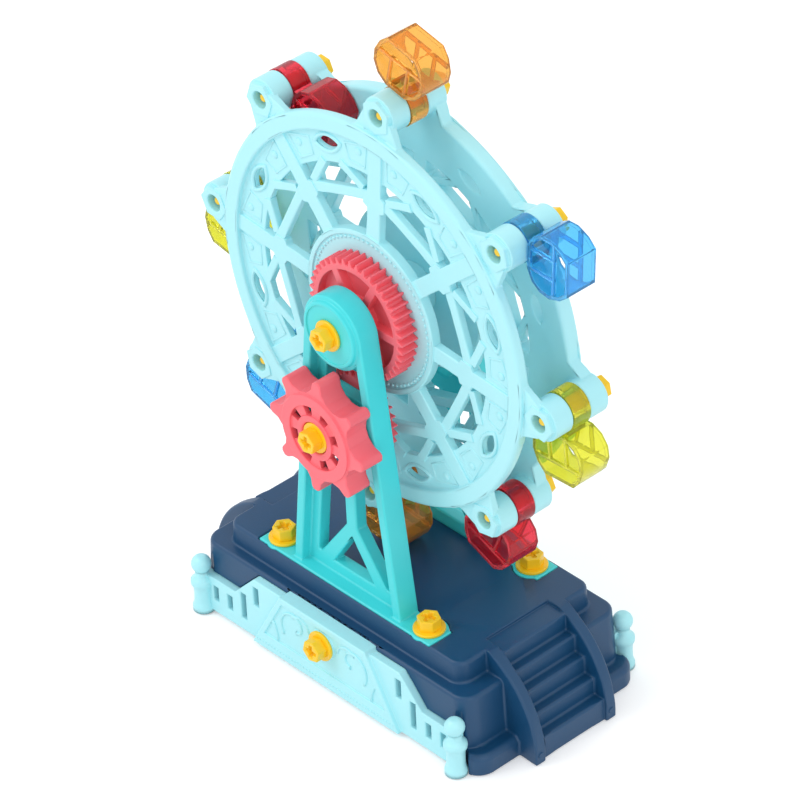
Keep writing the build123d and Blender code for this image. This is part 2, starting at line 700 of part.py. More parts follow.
def handwheel():
    """Cup-shaped wheel with eight finger teeth, open at the back."""
    angles = [HANDLE_ANGLE + 360 / HANDLE_TEETH * k for k in range(HANDLE_TEETH)]
    tip = HANDLE_TOOTH_TIP / 2
    tooth = Polygon(
        (DRUM_R - DRUM_WALL / 2, -HANDLE_TOOTH_ROOT),
        (DRUM_R + tip, -HANDLE_TOOTH_ROOT / 2),
        (HANDLE_R - tip / 2, -tip),
        (HANDLE_R, -tip / 2),
        (HANDLE_R, tip / 2),
        (HANDLE_R - tip / 2, tip),
        (DRUM_R + tip, HANDLE_TOOTH_ROOT / 2),
        (DRUM_R - DRUM_WALL / 2, HANDLE_TOOTH_ROOT),
        align=None,
    )
    outline = Circle(DRUM_R) + around(tooth, angles)
    body = slab(outline, 0, HANDLE_T)
    body += rod(DRUM_R - FACE_RING_PROUD, 0, HANDLE_T + FACE_RING_PROUD)
    body -= slab(Circle(FACE_RING_IN_R) - Circle(HANDLE_HUB_R), HANDLE_T, HANDLE_T + 2)
    body -= rod(HANDLE_HUB_IN_R, HANDLE_T - HUB_SEAT, HANDLE_T + 2)
    cup = Circle(DRUM_R - DRUM_WALL) - Circle(HANDLE_HUB_R)
    body -= slab(cup, -1, HANDLE_T - HANDLE_WEB)
    port = Circle(FACE_RING_IN_R) - Circle(HANDLE_HUB_R)
    half = FACE_RING_IN_R * math.tan(math.radians(PORT_ARC / 2))
    wedge = Polygon((0, 0), (FACE_RING_IN_R, -half), (FACE_RING_IN_R, half), align=None)
    ports = around(wedge, [angle + 180 / HANDLE_TEETH for angle in angles]) & port
    body -= slab(ports, 0, HANDLE_T + 2)
    end = shaft_end() - HANDLE_BACK_Y
    body -= rod(SHAFT_R + RUN_GAP, -1, end)
    body -= rod(SCREW_HOLE_R, 0, HANDLE_T + 2)
    return forward(HANDLE_BACK_Y, CRANK_Z) * body


# ---------------------------------------------------------------- cars


def car_outline():
    """Front view of a car hanging from the axis at 0, 0."""
    return Polygon(*mirrored_points([(x, -drop) for drop, x in CAR_SIDE[::-1]]), align=None)


def car():
    """Hollow cabin with windowed frames at both faces, hung from a sleeve."""
    outline = car_outline()
    front, rear = -CAR_REAR_Y, -CAR_FRONT_Y
    body = slab(outline, front, rear)
    inside = offset(outline, amount=-CAR_WALL)
    body -= slab(inside, front + CAR_WALL, rear - CAR_WALL)
    glass = offset(outline, amount=-CAR_FRAME_W)
    glass -= Pos(0, -CAR_RAIL_Z) * Rectangle(2 * CAR_FLOOR, CAR_RAIL_W)
    for side in (-1, 1):
        glass -= Pos(side * CAR_POST_X, -CAR_RAIL_Z / 2) * Rectangle(CAR_POST_W, CAR_RAIL_Z)
    body -= slab(glass, front - 1, rear + 1)
    sleeve_front, sleeve_rear = -HANG_FRONT_Y - SIDE_GAP, -HANG_REAR_Y + SIDE_GAP
    neck = Pos(0, -(SLEEVE_R + CAR_TOP) / 2 + 1) * Rectangle(2 * NECK_HALF, CAR_TOP - SLEEVE_R + 4)
    body += slab(Circle(SLEEVE_R) + neck, sleeve_rear, sleeve_front)
    body -= slab(Circle(SHANK_R + RUN_GAP), sleeve_rear - 1, sleeve_front + 1)
    return Plane.XZ * body


def hung_car(k):
    """Car k on its hanger, turned so that it hangs along its own direction."""
    return ear_places()[k] * Rot(0, -(CAR_HANG[k] + 90), 0) * car()


# ---------------------------------------------------------------- files


def main():
    os.makedirs("parts", exist_ok=True)
    fence_front, frame_front = fence(), a_frame()
    pieces = {
        "base_body": base_body(),
        "fence_front": fence_front,
        "fence_rear": half_turn(fence_front),
        "a_frame_front": frame_front,
        "a_frame_rear": half_turn(frame_front),
        "foot_screws": foot_screws(),
        "fence_screws": fence_screws(),
        "axle_tube": axle_tube(),
        "axle_screws": axle_screws(),
        "ring_front": ring_front(),
        "ring_rear": ring_rear(),
        "hub_spacer": hub_spacer(),
        "drive_gear": drive_gear(),
        "car_screws": car_screws(),
        "pinion_shaft": pinion(),
        "handwheel": handwheel(),
        "crank_screw": crank_screw(),
    }
    for k in range(EARS):
        pieces[f"car_{k + 1}"] = hung_car(k)
    for name, shape in pieces.items():
        export_step(shape, f"parts/{name}.step")


main()
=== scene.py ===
import json
import math

import bmesh
import bpy
from mathutils import Matrix, Vector
from mathutils.bvhtree import BVHTree
from mathutils.geometry import delaunay_2d_cdt
from mathutils.kdtree import KDTree

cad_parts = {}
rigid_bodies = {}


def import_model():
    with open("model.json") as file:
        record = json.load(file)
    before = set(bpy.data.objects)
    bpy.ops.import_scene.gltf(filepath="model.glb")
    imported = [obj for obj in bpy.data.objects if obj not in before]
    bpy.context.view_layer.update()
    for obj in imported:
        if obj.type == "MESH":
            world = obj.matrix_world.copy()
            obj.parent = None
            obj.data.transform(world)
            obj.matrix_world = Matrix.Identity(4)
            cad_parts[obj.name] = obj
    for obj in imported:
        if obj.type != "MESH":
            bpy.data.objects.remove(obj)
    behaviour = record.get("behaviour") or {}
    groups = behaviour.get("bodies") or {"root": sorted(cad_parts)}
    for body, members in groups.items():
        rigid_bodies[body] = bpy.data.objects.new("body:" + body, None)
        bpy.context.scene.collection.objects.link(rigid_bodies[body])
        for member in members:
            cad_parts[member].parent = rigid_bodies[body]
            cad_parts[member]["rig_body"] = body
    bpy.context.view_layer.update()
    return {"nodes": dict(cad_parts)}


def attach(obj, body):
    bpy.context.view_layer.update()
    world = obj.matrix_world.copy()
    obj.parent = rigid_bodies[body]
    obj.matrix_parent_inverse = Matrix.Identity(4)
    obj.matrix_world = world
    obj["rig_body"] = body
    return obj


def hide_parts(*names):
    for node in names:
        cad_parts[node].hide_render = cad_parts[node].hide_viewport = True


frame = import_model()

# ---------------------------------------------------------------- base
# One hollow moulding in navy plastic: three tiers, a deck with pockets for the frames' feet and a
# flight of steps at each end. It comes out of its mould with soft edges and a finely sparked skin.

MM = 0.001
NAVY = "#09436B"
BASE_EDGE = 1.3 * MM
WELD = 0.002 * MM
FLAT, SHARP = math.radians(0.6), math.radians(28)  # up to the first faces are one, past the second an edge is rounded
LONGEST_EDGE, MOST_CUTS = 4.0 * MM, 60  # longer sharp edges are cut up, so that a rounding can narrow along them
RIM, RIM_SPREAD = 0.02 * MM, 1.15  # thin rim round a flat region, and how many roundings wide it becomes
LEAST_MITRE = 0.35
NEAR, SIDEWAYS = 2.5, 0.6  # widths within which the next sharp edge counts, and how far along it may lie
ROOM_SHARE = 0.42  # of the way to the next sharp edge, as far as a rounding reaches
STRAY = 0.45  # of a rounding's width, as far as its corners may lie from the unrounded surface
FINEST = 0.0001  # mm, below which two corners of a face are one


def linear(code):
    """The linear colour of a hexadecimal screen colour."""
    parts = [int(code[i : i + 2], 16) / 255 for i in (1, 3, 5)]
    return tuple(c / 12.92 if c <= 0.04045 else ((c + 0.055) / 1.055) ** 2.4 for c in parts) + (1.0,)


class Shade:
    """A socket of a material's tree. Arithmetic on it adds Math nodes."""

    def __init__(self, tree, socket=None):
        self.tree, self.socket = tree, socket

    def node(self, kind, settings=None, inputs=None, output=0):
        made = self.tree.nodes.new(kind)
        for name, value in (settings or {}).items():
            if name == "stops":
                for stop, (place, level) in zip(made.color_ramp.elements, value):
                    stop.position, stop.color = place, (level, level, level, 1)
            else:
                setattr(made, name, value)
        for name, value in (inputs or {}).items():
            if isinstance(value, Shade):
                self.tree.links.new(value.socket, made.inputs[name])
            else:
                made.inputs[name].default_value = value
        return Shade(self.tree, made.outputs[output] if made.outputs else None)

    def math(self, operation, first, second):
        return self.node("ShaderNodeMath", {"operation": operation}, {0: first, 1: second})

    def __add__(self, other):
        return self.math("ADD", self, other)

    def __sub__(self, other):
        return self.math("SUBTRACT", self, other)

    def __rsub__(self, other):
        return self.math("SUBTRACT", other, self)

    def __mul__(self, other):
        return self.math("MULTIPLY", self, other)

    __radd__, __rmul__ = __add__, __mul__

    def mixed(self, low, high):
        """Colour between two colours, by this value."""
        return self.node("ShaderNodeMix", {"data_type": "RGBA"}, {0: self, 6: low, 7: high}, output=2)


def new_material(name):
    """Material with an empty tree, and the wrapper that fills it."""
    material = bpy.data.materials.new(name)
    material.use_nodes = True
    material.node_tree.nodes.clear()
    return material, Shade(material.node_tree)


def finish_material(material, surface):
    surface.node("ShaderNodeOutputMaterial", inputs={"Surface": surface})
    return material


def moulded(name, code, roughness=0.36, grain=0.16, coat=0.0):
    """Opaque moulded plastic: faint flow marks in its colour and gloss, and a fine sparked skin."""
    material, tree = new_material(name)
    place = tree.node("ShaderNodeTexCoord", output=3)
    flow = tree.node("ShaderNodeTexNoise", inputs={"Vector": place, "Scale": 38.0, "Detail": 3.0})
    skin = tree.node("ShaderNodeTexNoise", inputs={"Vector": place, "Scale": 2600.0, "Detail": 2.0})
    colour = linear(code)
    dim = tuple(c * 0.96 for c in colour[:3]) + (1.0,)
    lit = tuple(min(1.0, c * 1.03) for c in colour[:3]) + (1.0,)
    bump = tree.node("ShaderNodeBump", inputs={"Strength": grain, "Distance": 0.00012, "Height": skin})
    plastic = tree.node(
        "ShaderNodeBsdfPrincipled",
        inputs={
            "Base Color": flow.mixed(dim, lit),
            "Roughness": flow * 0.1 + skin * 0.04 + (roughness - 0.07),
            "Normal": bump,
            "IOR": 1.5,
            "Coat Weight": coat,
            "Coat Roughness": 0.2,
        },
    )
    return finish_material(material, plastic)


def crowded(work, sharp, reach):
    """For each sharp edge, how far away the next sharp edge lies sideways."""
    spots, owners = [], []
    for edge in sharp:
        start, end = (vert.co for vert in edge.verts)
        for share in (0.15, 0.5, 0.85):
            spots.append(start.lerp(end, share))
            owners.append(edge)
    tree = KDTree(len(spots))
    for i, spot in enumerate(spots):
        tree.insert(spot, i)
    tree.balance()
    room = {edge: reach for edge in sharp}
    for spot, edge in zip(spots, owners):
        along = (edge.verts[1].co - edge.verts[0].co).normalized()
        for near, i, gap in tree.find_range(spot, reach):
            other = owners[i]
            if gap < room[edge] and other is not edge and not set(other.verts) & set(edge.verts):
                if abs((near - spot).dot(along)) < SIDEWAYS * gap:
                    room[edge] = gap
    return room


def seamed_regions(work):
    """Flat regions that still need more than one face, because they have holes."""
    seams = {edge for edge in work.edges if len(edge.link_faces) == 2 and edge.calc_face_angle() < FLAT}
    regions, seen = [], set()
    for start in {face for edge in seams for face in edge.link_faces}:
        if start in seen:
            continue
        region, todo = [], [start]
        seen.add(start)
        while todo:
            face = todo.pop()
            region.append(face)
            for edge in seams & set(face.edges):
                for near in edge.link_faces:
                    if near not in seen:
                        seen.add(near)
                        todo.append(near)
        regions.append(region)
    return regions


def widen(outward, faces, fits):
    """Sets the inner side of a thin rim as far in from each corner as that corner's rounding needs."""
    inward, inner = {}, {}
    for face in faces:
        for loop in face.loops:
            after = loop.link_loop_next
            if loop.vert in fits and after.vert in fits:
                side = outward.cross(after.vert.co - loop.vert.co).normalized()
                for corner, other in ((loop.vert, loop.link_loop_prev.vert), (after.vert, after.link_loop_next.vert)):
                    inward.setdefault(corner, []).append(side)
                    inner[corner] = other
    for corner, sides in inward.items():
        if len(sides) == 2 and inner[corner] not in fits:
            mitre = (sides[0] + sides[1]) / max(LEAST_MITRE, 1 + sides[0].dot(sides[1]))
            inner[corner].co = corner.co + mitre * fits[corner] * RIM_SPREAD


def applied(piece):
    """Turns what a piece's modifiers make into its own mesh."""
    bpy.context.view_layer.update()
    shape = bpy.data.meshes.new_from_object(piece.evaluated_get(bpy.context.evaluated_depsgraph_get()))
    piece.modifiers.clear()
    piece.data = shape
    return piece


def refilled(work, face):
    """Covers a flat face whose outline crosses itself with triangles that stay inside the outline."""
    corners, outward = list(face.verts), face.normal.copy()
    along = outward.orthogonal().normalized()
    up = outward.cross(along)
    flat = [Vector((corner.co.dot(along), corner.co.dot(up))) / MM for corner in corners]
    lift = outward * corners[0].co.dot(outward)
    spots, _, triangles, sources, _, _ = delaunay_2d_cdt(flat, [], [list(range(len(flat)))], 1, FINEST)
    points = []
    for spot, source in zip(spots, sources):
        points.append(corners[source[0]] if source else work.verts.new(lift + (along * spot.x + up * spot.y) * MM))
    work.faces.remove(face)
    for triangle in triangles:
        trio = [points[i] for i in triangle]
        if len(set(trio)) == 3 and not work.faces.get(trio):
            work.faces.new(trio)


def settled(piece, node, reach):
    """Draws stray corners of the rounding back to the moulding's surface and turns folded slivers outwards."""
    work = bmesh.new()
    work.from_mesh(frame["nodes"][node].data)
    skin = BVHTree.FromBMesh(work)
    work.clear()
    work.from_mesh(piece.data)
    for vert in work.verts:
        near, _, _, gap = skin.find_nearest(vert.co)
        if gap > STRAY * reach(vert.co):
            vert.co = near
    work.normal_update()
    crossed = set()
    for corners in work.calc_loop_triangles():
        first, second, third = (loop.vert.co for loop in corners)
        if (second - first).cross(third - first).dot(corners[0].face.normal) < 0:
            crossed.add(corners[0].face)
    for face in crossed:
        refilled(work, face)
    work.normal_update()
    for face in work.faces:
        if len(face.verts) <= 4 and face.normal.dot(skin.find_nearest(face.calc_center_median())[1]) < 0:
            face.normal_flip()
    work.to_mesh(piece.data)
    work.free()
    return piece


def sharp_edges(work):
    return [edge for edge in work.edges if len(edge.link_faces) == 2 and edge.calc_face_angle() > SHARP]


def softened(node, width, material, slot, steps=3, wider=None):
    """Copy of a CAD node, welded, with flat faces joined and its edges rounded. It replaces the node."""
    shape = frame["nodes"][node].data.copy()
    work = bmesh.new()
    work.from_mesh(shape)
    bmesh.ops.remove_doubles(work, verts=work.verts, dist=WELD)
    bmesh.ops.dissolve_limit(work, angle_limit=FLAT, verts=work.verts, edges=work.edges)
    weight = work.edges.layers.float.new("bevel_weight_edge")
    sharp = sharp_edges(work)
    for cuts in range(1, MOST_CUTS):
        part = [edge for edge in sharp if edge.is_valid and cuts < edge.calc_length() / LONGEST_EDGE <= cuts + 1]
        if part:
            bmesh.ops.bisect_edges(work, edges=part, cuts=cuts)
    rims = []
    for region in seamed_regions(work):
        outward = max(region, key=lambda face: face.calc_area()).normal.copy()
        made = bmesh.ops.inset_region(work, faces=region, thickness=RIM, use_even_offset=True, use_boundary=True)
        rims.append((outward, made["faces"]))
    sharp = sharp_edges(work)
    want = {edge: width for edge in sharp}
    if wider:
        want = {edge: wider((edge.verts[0].co + edge.verts[1].co) / 2) or width for edge in sharp}
    widest = max(want.values())
    room = crowded(work, sharp, widest * NEAR)
    fits = {}
    for edge in sharp:
        for vert in edge.verts:
            fits[vert] = min(fits.get(vert, widest), want[edge], ROOM_SHARE * room[edge])
    for outward, faces in rims:
        widen(outward, faces, fits)
    for edge in sharp:
        edge[weight] = min(fits[vert] for vert in edge.verts) / widest
    work.to_mesh(shape)
    work.free()
    piece = bpy.data.objects.new(node + "_moulding", shape)
    bpy.context.scene.collection.objects.link(piece)
    edges = piece.modifiers.new("moulded edges", "BEVEL")
    edges.width, edges.segments, edges.limit_method = widest, steps, "WEIGHT"
    edges.use_clamp_overlap = False
    settled(applied(piece), node, lambda spot: (wider and wider(spot)) or width)
    return dressed(piece, material, slot, frame["nodes"][node]["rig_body"], node)


def dressed(piece, material, slot, body, *nodes):
    """Applies what shapes a piece, gives it its material and body, and hides the CAD nodes it stands for. Its slot is
    not used.
    """
    evened = piece.modifiers.new("even normals", "WEIGHTED_NORMAL")
    evened.keep_sharp = True
    piece.data.shade_smooth()
    applied(piece)
    piece.data.materials.clear()
    piece.data.materials.append(material)
    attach(piece, body)
    if nodes:
        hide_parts(*nodes)
    return piece


navy = moulded("navy plastic", NAVY, roughness=0.42, grain=0.3)
softened("base_body", BASE_EDGE, navy, "base_navy")

# ---------------------------------------------------------------- fences
# Two pale blue mouldings let into the long sides: a middle panel with raised scrolls between two
# pierced rails, and a post with a ball at each end. One screw through the panel holds each.

MINT = "#AFEEF6"
FENCE_EDGE = 0.7 * MM
PANEL_FACE = 52.3 * MM
FIELD_FLOOR = PANEL_FACE - 0.9 * MM
SCREW_Z = 25.3 * MM
RIDGE_W, RIDGE_H = 1.3 * MM, 0.8 * MM
SCROLL_EYE = (-18.0 * MM, 24.2 * MM)
SCROLL_FROM, SCROLL_TO = -75.0, 222.0
SCROLL_IN, SCROLL_OUT, SCROLL_STEPS = 2.4 * MM, 10.6 * MM, 40
DOT_PITCH, DOT_R, DOT_Z = 1.9 * MM, 0.62 * MM, 5.6 * MM
DOT_SPAN = 44.0 * MM
POST_PLACE = (81.5 * MM, -50.4 * MM)
POST_PROFILE = (
    (0.6, 5.1), (2.8, 5.1), (4.0, 4.7), (5.6, 4.25), (9.5, 4.1), (13.2, 4.25), (14.6, 5.15), (15.8, 5.25),
    (17.0, 5.15), (17.9, 4.2), (18.8, 3.3), (20.0, 3.0), (21.3, 3.05),
)  # height and radius up to the ball, in mm
BALL_Z, BALL_R, BALL_BANDS = 25.4, 4.52, 12  # in mm
POST_SKIN = 0.05  # mm, by which the round skin stands outside the solid's flat sides
ROUND_STEPS = 48


def ridge(work, points, width, height, place, closed=False):
    """Low rounded ridge along a flat line. place turns (along, up, proud) into a point of the model."""
    profile = [(-0.5, -0.4), (-0.46, 0.25), (-0.26, 0.82), (0, 1), (0.26, 0.82), (0.46, 0.25), (0.5, -0.4)]
    count = len(points)
    rings = []
    for i, point in enumerate(points):
        before = points[i - 1] if i or closed else point
        after = points[(i + 1) % count] if i < count - 1 or closed else point
        into, out = Vector(point) - Vector(before), Vector(after) - Vector(point)
        into, out = (into or out).normalized(), (out or into).normalized()
        along = (into + out).normalized()
        side = Vector((-along.y, along.x)) / max(0.5, along.dot(into))
        ring = []
        for across, up in profile:
            spot = Vector(point) + side * across * width
            ring.append(work.verts.new(place(spot.x, spot.y, up * height)))
        rings.append(ring)
    pairs = list(zip(rings, rings[1:])) + ([(rings[-1], rings[0])] if closed else [])
    for first, second in pairs:
        for k in range(len(profile)):
            nxt = (k + 1) % len(profile)
            work.faces.new((first[k], first[nxt], second[nxt], second[k]))
    if not closed:
        work.faces.new(rings[0][::-1])
        work.faces.new(rings[-1])


def new_piece(name, work):
    """Object at the origin made of this mesh, with its faces turned outwards."""
    bmesh.ops.recalc_face_normals(work, faces=work.faces)
    shape = bpy.data.meshes.new(name)
    work.to_mesh(shape)
    work.free()
    piece = bpy.data.objects.new(name, shape)
    bpy.context.scene.collection.objects.link(piece)
    return piece


def tree_input(tree, name, kind, value):
    socket = tree.interface.new_socket(name, in_out="INPUT", socket_type=kind)
    socket.default_value = value
    return socket.identifier


def turning_tree():
    """Copies of a piece turned about an axis, at equal steps."""
    tree = bpy.data.node_groups.new("turned copies", "GeometryNodeTree")
    tree.interface.new_socket("Geometry", in_out="INPUT", socket_type="NodeSocketGeometry")
    tree_input(tree, "Count", "NodeSocketInt", 8)
    tree_input(tree, "Step", "NodeSocketFloat", 0.0)
    tree_input(tree, "Axis", "NodeSocketVector", (0, 1, 0))
    tree_input(tree, "Centre", "NodeSocketVector", (0, 0, 0))
    tree.interface.new_socket("Material", in_out="INPUT", socket_type="NodeSocketMaterial")
    tree.interface.new_socket("Geometry", in_out="OUTPUT", socket_type="NodeSocketGeometry")
    nodes, link = tree.nodes, tree.links.new
    given, result = nodes.new("NodeGroupInput"), nodes.new("NodeGroupOutput")
    spots, copies = nodes.new("GeometryNodePoints"), nodes.new("GeometryNodeInstanceOnPoints")
    index, angle = nodes.new("GeometryNodeInputIndex"), nodes.new("ShaderNodeMath")
    turn, real = nodes.new("ShaderNodeVectorMath"), nodes.new("GeometryNodeRealizeInstances")
    paint = nodes.new("GeometryNodeSetMaterial")
    angle.operation, turn.operation = "MULTIPLY", "SCALE"
    link(given.outputs["Count"], spots.inputs["Count"])
    link(given.outputs["Centre"], spots.inputs["Position"])
    link(index.outputs[0], angle.inputs[0])
    link(given.outputs["Step"], angle.inputs[1])
    link(given.outputs["Axis"], turn.inputs[0])
    link(angle.outputs[0], turn.inputs["Scale"])
    link(spots.outputs[0], copies.inputs["Points"])
    link(given.outputs["Geometry"], copies.inputs["Instance"])
    link(turn.outputs[0], copies.inputs["Rotation"])
    link(copies.outputs[0], real.inputs[0])
    link(real.outputs[0], paint.inputs["Geometry"])
    link(given.outputs["Material"], paint.inputs["Material"])
    link(paint.outputs[0], result.inputs[0])
    return tree


TURNED = turning_tree()


def turned_copies(piece, count, axis, centre, material, step=None):
    """The piece, modelled about the origin, becomes a plain mesh of its turned copies."""
    values = {
        "Count": count,
        "Step": 2 * math.pi / count if step is None else step,
        "Axis": axis,
        "Centre": centre,
        "Material": material,
    }
    repeat = piece.modifiers.new("copies", "NODES")
    repeat.node_group = TURNED
    for item in TURNED.interface.items_tree:
        if item.in_out == "INPUT" and item.name in values:
            repeat[item.identifier] = values[item.name]
    return applied(piece)


def on_fence(x, z, proud):
    return (x, -(FIELD_FLOOR + proud), z)


def scroll_points(side):
    """C-shaped scroll that opens out from its eye."""
    points = []
    for i in range(SCROLL_STEPS + 1):
        share = i / SCROLL_STEPS
        angle = math.radians(SCROLL_FROM + (SCROLL_TO - SCROLL_FROM) * share)
        radius = SCROLL_IN + (SCROLL_OUT - SCROLL_IN) * share**1.3
        across, up = SCROLL_EYE[0] + radius * math.cos(angle), SCROLL_EYE[1] + radius * math.sin(angle)
        points.append((side * across, up))
    return points


def fence_scrolls():
    work = bmesh.new()
    for side in (1, -1):
        ridge(work, scroll_points(side), RIDGE_W, RIDGE_H, on_fence)
        leaf = [(x * side * MM, z * MM) for x, z in ((-20.0, 29.5), (-15.0, 31.4), (-10.5, 29.4), (-9.0, 25.6))]
        ridge(work, leaf, RIDGE_W, RIDGE_H * 0.8, on_fence)
        brace = [(x * side * MM, z * MM) for x, z in ((-33.8, 21.4), (-31.6, 18.0), (-30.4, 14.4), (-30.2, 11.2))]
        ridge(work, brace, RIDGE_W, RIDGE_H, on_fence)
    dots = int(2 * DOT_SPAN / DOT_PITCH)
    for i in range(dots + 1):
        spot = Matrix.Translation((-DOT_SPAN + i * DOT_PITCH, -PANEL_FACE, DOT_Z)) @ Matrix.Diagonal((1, 0.6, 1, 1))
        bmesh.ops.create_icosphere(work, subdivisions=2, radius=DOT_R, matrix=spot)
    return new_piece("fence_scrolls", work)


def loop_faces(work, lower, upper):
    count = len(lower)
    for i in range(count):
        nxt = (i + 1) % count
        work.faces.new((lower[i], lower[nxt], upper[nxt], upper[i]))


def ring_of(work, points, height):
    return [work.verts.new((x, y, height)) for x, y in points]


def circle_points(radius, steps=ROUND_STEPS):
    turns = [2 * math.pi * i / steps for i in range(steps)]
    return [(radius * math.cos(turn), radius * math.sin(turn)) for turn in turns]


def fence_posts():
    """Round skins of a fence's two turned posts."""
    profile = list(POST_PROFILE)
    for k in range(1, BALL_BANDS):
        lean = math.pi * k / BALL_BANDS
        if BALL_Z - BALL_R * math.cos(lean) > profile[-1][0]:
            profile.append((BALL_Z - BALL_R * math.cos(lean), BALL_R * math.sin(lean)))
    work = bmesh.new()
    for side in (-1, 1):
        rings = []
        for height, radius in profile:
            circle = circle_points((radius + POST_SKIN) * MM)
            points = [(side * POST_PLACE[0] + x, POST_PLACE[1] + y) for x, y in circle]
            rings.append(ring_of(work, points, height * MM))
        for lower, upper in zip(rings, rings[1:]):
            loop_faces(work, lower, upper)
        work.faces.new(rings[0][::-1])
        work.faces.new(rings[-1])
    return new_piece("fence_posts", work)


mint = moulded("mint plastic", MINT, roughness=0.34, grain=0.12)
for side in ("front", "rear"):
    softened("fence_" + side, FENCE_EDGE, mint, "mint")
scrolls = turned_copies(fence_scrolls(), 2, (0, 0, 1), (0, 0, 0), mint)
dressed(scrolls, mint, "mint", "stand")
posts = turned_copies(fence_posts(), 2, (0, 0, 1), (0, 0, 0), mint)
dressed(posts, mint, "mint", "stand")

# ---------------------------------------------------------------- screws
# Yellow plastic screws, driven by a toy screwdriver: a round flange, a six-sided head with a cross
# recess in its end, and a plain shank. Like ones are copies of one head, set where each is driven.

YELLOW = "#FFCC1C"
FLANGE_R, FLANGE_T = 7.2 * MM, 1.5 * MM
HEAD_R, HEAD_H = 5.4 * MM, 5.3 * MM
HEAD_ONLY_H = 5.5 * MM
SHANK_R = 3.9 * MM
CROSS_OUT, CROSS_IN, CROSS_DEPTH = 3.3 * MM, 1.15 * MM, 2.6 * MM
SCREW_EDGE = 0.45 * MM

yellow = moulded("yellow plastic", YELLOW, roughness=0.3, grain=0.1)


def add_drum(work, radius, low, high):
    """Plain closed drum, of which the bevel rounds the rims."""
    bottom, top = (ring_of(work, circle_points(radius), z) for z in (low, high))
    loop_faces(work, bottom, top)
    work.faces.new(bottom[::-1])
    work.faces.new(top)


def add_head(work, low, high):
    """Six-sided head with a cross recess in its end."""
    corners = []
    for i in range(12):
        radius = HEAD_R if i % 2 == 0 else HEAD_R * math.cos(math.pi / 6)
        angle = math.pi / 6 * i + math.pi / 12
        corners.append((radius * math.cos(angle), radius * math.sin(angle)))
    cross = []
    for k in range(4):
        turn = math.pi / 2 * k
        for x, y in ((CROSS_OUT, -CROSS_IN), (CROSS_OUT, CROSS_IN), (CROSS_IN, CROSS_IN)):
            cross.append((x * math.cos(turn) - y * math.sin(turn), x * math.sin(turn) + y * math.cos(turn)))
    bottom, top = ring_of(work, corners, low), ring_of(work, corners, high)
    mouth = ring_of(work, cross, high)
    floor = ring_of(work, [(x * 0.72, y * 0.72) for x, y in cross], high - CROSS_DEPTH)
    loop_faces(work, bottom, top)
    loop_faces(work, top, mouth[1:] + mouth[:1])
    loop_faces(work, mouth, floor)
    work.faces.new(bottom[::-1])
    work.faces.new(floor)


def screw_mesh(length, flange=True, tip=0.0):
    """Screw whose seat is at height 0 and whose head points up."""
    work = bmesh.new()
    lift = FLANGE_T if flange else 0.0
    if flange:
        add_drum(work, FLANGE_R, 0, FLANGE_T)
    add_head(work, lift - 0.1 * MM, lift + (HEAD_H if flange else HEAD_ONLY_H))
    add_drum(work, SHANK_R, tip - length, lift)
    if tip:
        add_drum(work, TIP_R, -length, tip - length + 0.5 * MM)
    return work


def finished_screws(piece, node):
    """Rounds the edges of a set of screws, which then stands for its CAD node."""
    edges = piece.modifiers.new("rounded edges", "BEVEL")
    edges.width, edges.segments, edges.limit_method = SCREW_EDGE, 3, "ANGLE"
    edges.angle_limit, edges.use_clamp_overlap = SHARP, False
    return dressed(piece, yellow, "yellow", frame["nodes"][node]["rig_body"], node)


def screw_piece(name, node, length, pose, count, axis, centre, flange=True, tip=0.0):
    work = screw_mesh(length, flange, tip)
    work.transform(pose)
    return finished_screws(turned_copies(new_piece(name, work), count, axis, centre, yellow), node)


SCREW_LEN = 18.0 * MM
FACING_FRONT = Matrix.Rotation(math.pi / 2, 4, "X")
fence_pose = Matrix.Translation((0, -PANEL_FACE, SCREW_Z)) @ FACING_FRONT
screw_piece("fence_screw_heads", "fence_screws", SCREW_LEN, fence_pose, 2, (0, 0, 1), (0, 0, 0))

# ---------------------------------------------------------------- frames
# Two turquoise A-shaped frames with ribbed edges, standing in pockets of the deck. Their heads hold
# the axle and the front one also bears the crank. Four screws hold their foot plates down.

TURQUOISE = "#45DADF"
FRAME_EDGE = 0.9 * MM
DECK_Z = 47.5 * MM
FOOT_SCREW, FOOT_SCREW_TURN = (46.2 * MM, 30.6 * MM), 0.35
WHEEL_Z, CRANK_Z = 182.296 * MM, 134.936 * MM
AXLE_SEAT = 37.7 * MM
AXLE_SCREW_LEN = 24.5 * MM

turquoise = moulded("turquoise plastic", TURQUOISE, roughness=0.33, grain=0.12)
for side in ("front", "rear"):
    softened("a_frame_" + side, FRAME_EDGE, turquoise, "turquoise")
softened("axle_tube", 0.3 * MM, mint, "mint")


def foot_screw_heads():
    """Two opposite corners come from each half turn, so both pairs are made and joined."""
    work = bmesh.new()
    for x in (-1, 1):
        single = screw_mesh(SCREW_LEN)
        place = Matrix.Translation((x * FOOT_SCREW[0], -FOOT_SCREW[1], DECK_Z))
        single.transform(place @ Matrix.Rotation(x * FOOT_SCREW_TURN, 4, "Z"))
        shape = bpy.data.meshes.new("pair")
        single.to_mesh(shape)
        single.free()
        work.from_mesh(shape)
        bpy.data.meshes.remove(shape)
    piece = turned_copies(new_piece("foot_screw_heads", work), 2, (0, 0, 1), (0, 0, 0), yellow)
    return finished_screws(piece, "foot_screws")


foot_screw_heads()
axle_pose = Matrix.Translation((0, -AXLE_SEAT, WHEEL_Z)) @ FACING_FRONT
screw_piece("axle_screw_heads", "axle_screws", AXLE_SCREW_LEN, axle_pose, 2, (0, 0, 1), (0, 0, 0))

# ---------------------------------------------------------------- wheel
# Two pierced rings of the same pale plastic, held apart by the hub tube and the eight cars' screws.
# Rim bead, band with eyes, spokes, cross bars and braces are one moulding; small beads ring the hub.

